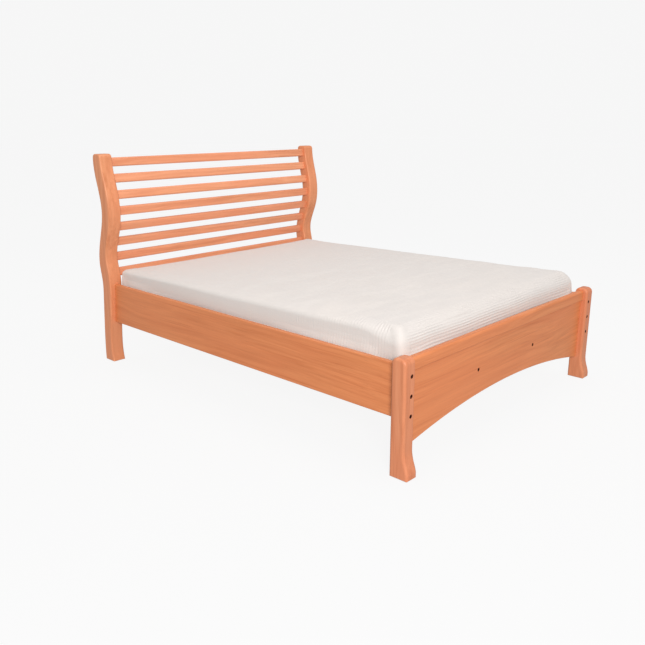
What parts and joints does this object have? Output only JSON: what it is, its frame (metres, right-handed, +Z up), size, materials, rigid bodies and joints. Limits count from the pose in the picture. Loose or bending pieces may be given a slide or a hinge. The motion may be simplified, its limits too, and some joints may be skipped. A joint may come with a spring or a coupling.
{
  "type": "sleigh bed",
  "caption": "Double bed with a wave-shaped slatted headboard, low arched footboard, bolted side rails, slat base and a lift-off mattress.",
  "frame": {"origin": "on the floor, under the middle of the whole bed", "axes": "+Z up, +Y from the foot of the bed to the head, +X to the right for somebody at the foot who looks at the headboard"},
  "size_m": [1.662, 2.234, 1.194],
  "materials": {
    "cherry_light": "satin",
    "cherry": "satin",
    "poplar": "matte",
    "beech": "matte",
    "dark_bronze": "satin",
    "zinc_steel": "satin",
    "glide_black": "matte",
    "cover_cloth": "matte",
    "foam": "matte"
  },
  "bodies": {
    "frame": {"beam_barrel_nuts": "zinc_steel", "beam_bolts": "dark_bronze", "beam_left": "poplar", "beam_leg_left": "poplar", "beam_leg_right": "poplar", "beam_right": "poplar", "bed_slat_01": "poplar", "bed_slat_02": "poplar", "bed_slat_03": "poplar", "bed_slat_04": "poplar", "bed_slat_05": "poplar", "bed_slat_06": "poplar", "bed_slat_07": "poplar", "bed_slat_08": "poplar", "bed_slat_09": "poplar", "bed_slat_10": "poplar", "bed_slat_11": "poplar", "bed_slat_12": "poplar", "bed_slat_13": "poplar", "cleat_left": "poplar", "cleat_right": "poplar", "cleat_screws": "zinc_steel", "foot_bolts": "dark_bronze", "foot_cap_rail": "cherry", "foot_panel": "cherry", "foot_post_left": "cherry_light", "foot_post_right": "cherry_light", "head_bolts": "dark_bronze", "head_post_left": "cherry_light", "head_post_right": "cherry_light", "head_rail": "cherry", "head_slat_1": "cherry_light", "head_slat_2": "cherry_light", "head_slat_3": "cherry_light", "head_slat_4": "cherry_light", "head_slat_5": "cherry_light", "head_slat_6": "cherry_light", "head_slat_7": "cherry_light", "head_slat_8": "cherry_light", "leg_glide_left": "glide_black", "leg_glide_right": "glide_black", "leg_studs": "zinc_steel", "rail_barrel_nuts": "zinc_steel", "rail_dowels": "beech", "side_rail_left": "cherry", "side_rail_right": "cherry", "slat_screws": "zinc_steel"},
    "mattress": {"mattress_cover": "cover_cloth", "mattress_base_foam": "foam", "mattress_comfort_foam": "foam"}
  },
  "joints": [
    {"name": "mattress_lift", "type": "slide", "parent": "frame", "child": "mattress", "axis": [0, 0, 1], "range_m": [0, 0.15]}
  ]
}
